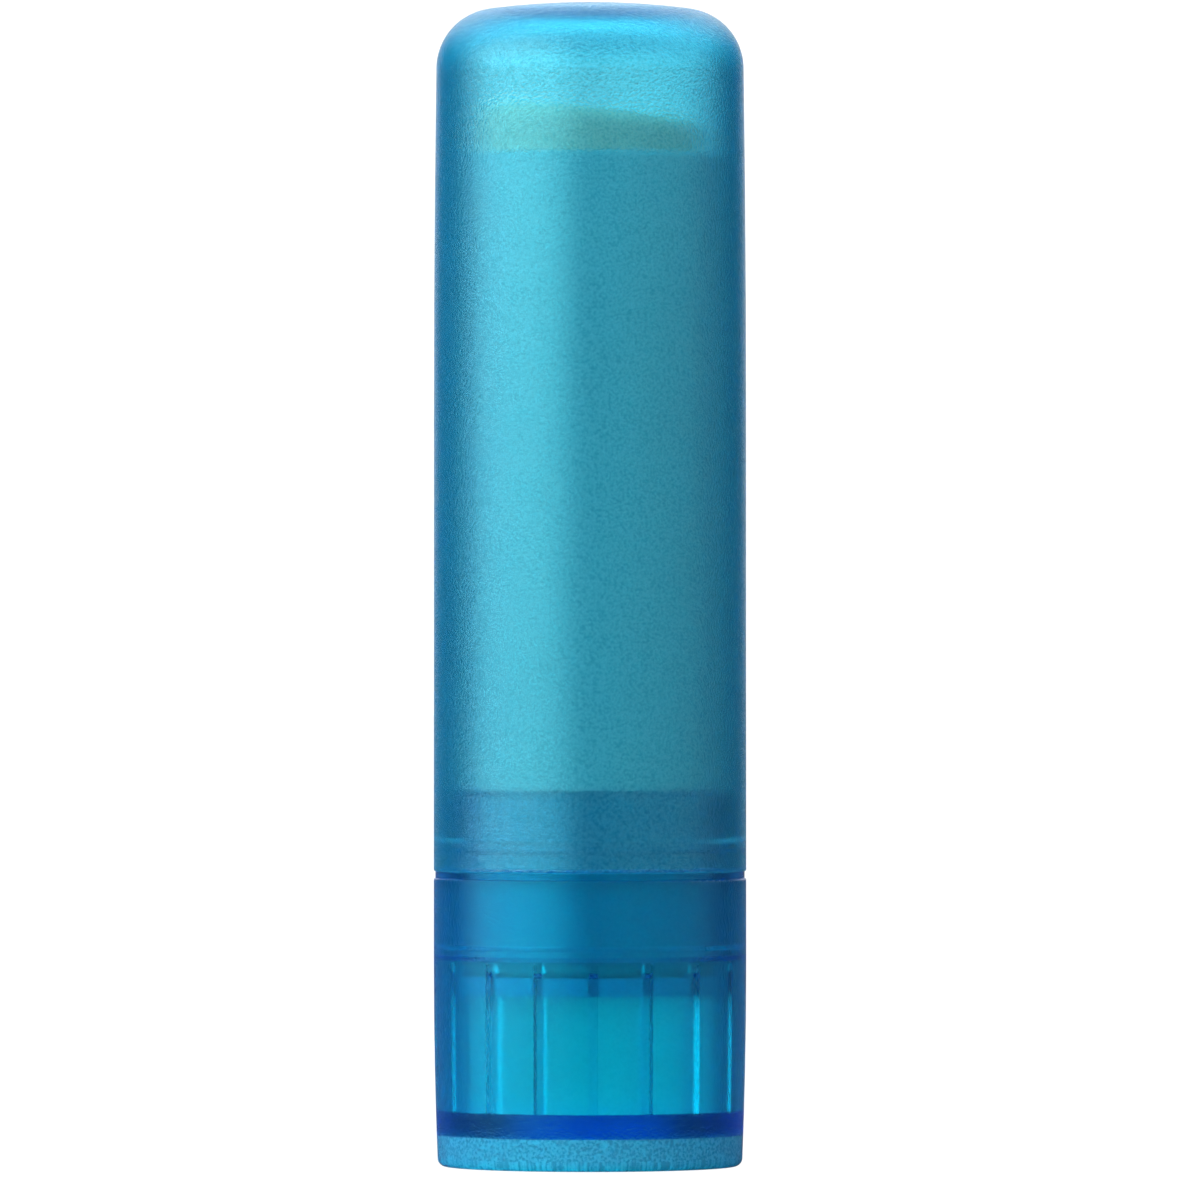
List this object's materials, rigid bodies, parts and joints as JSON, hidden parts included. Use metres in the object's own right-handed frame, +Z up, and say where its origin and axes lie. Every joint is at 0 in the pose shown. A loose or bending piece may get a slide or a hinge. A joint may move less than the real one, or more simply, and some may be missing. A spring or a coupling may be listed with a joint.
{
  "type": "lip balm stick",
  "caption": "Twist-up lip balm stick: a frosted see-through cap over a balm-filled tube, whose turning base winds the balm up on a central screw.",
  "frame": {"origin": "centre of the foot rim, in the plane that the stick stands on", "axes": "+Z up along the stick's axis; the picture looks along +Y with +X to the right"},
  "size_m": [0.0188, 0.0188, 0.07],
  "materials": {
    "cap_plastic": "frosted see-through blue, fine spark-eroded grain",
    "base_plastic": "frosted see-through blue, a little deeper than the cap",
    "neck_plastic": "smooth see-through blue",
    "tube_plastic": "smooth, cloudy, lightly tinted blue-green",
    "screw_plastic": "cloudy blue polypropylene, the base's colour",
    "carrier_plastic": "natural milky polypropylene",
    "balm": "waxy tan balm with a soft sheen"
  },
  "bodies": {
    "base": {"twist_base": "base_plastic", "screw_spindle": "screw_plastic"},
    "tube": {"balm_tube": "tube_plastic", "neck_ring": "neck_plastic"},
    "carrier": {"balm_carrier": "carrier_plastic", "balm_stick": "balm"},
    "cap": {"cap": "cap_plastic"}
  },
  "joints": [
    {"name": "base_twist", "type": "hinge", "parent": "base", "child": "tube", "pos_m": [0, 0, 0.01735], "axis": [0, 0, 1], "range_deg": [0, 3420]},
    {"name": "carrier_lift", "type": "slide", "parent": "tube", "child": "carrier", "axis": [0, 0, 1], "range_m": [0, 0.038]},
    {"name": "cap_lift", "type": "slide", "parent": "carrier", "child": "cap", "axis": [0, 0, 1], "range_m": [0, 0.055]}
  ],
  "couplings": [
    {"joint": "carrier_lift", "follows": "base_twist", "m_per_rad": 0.0006366}
  ]
}
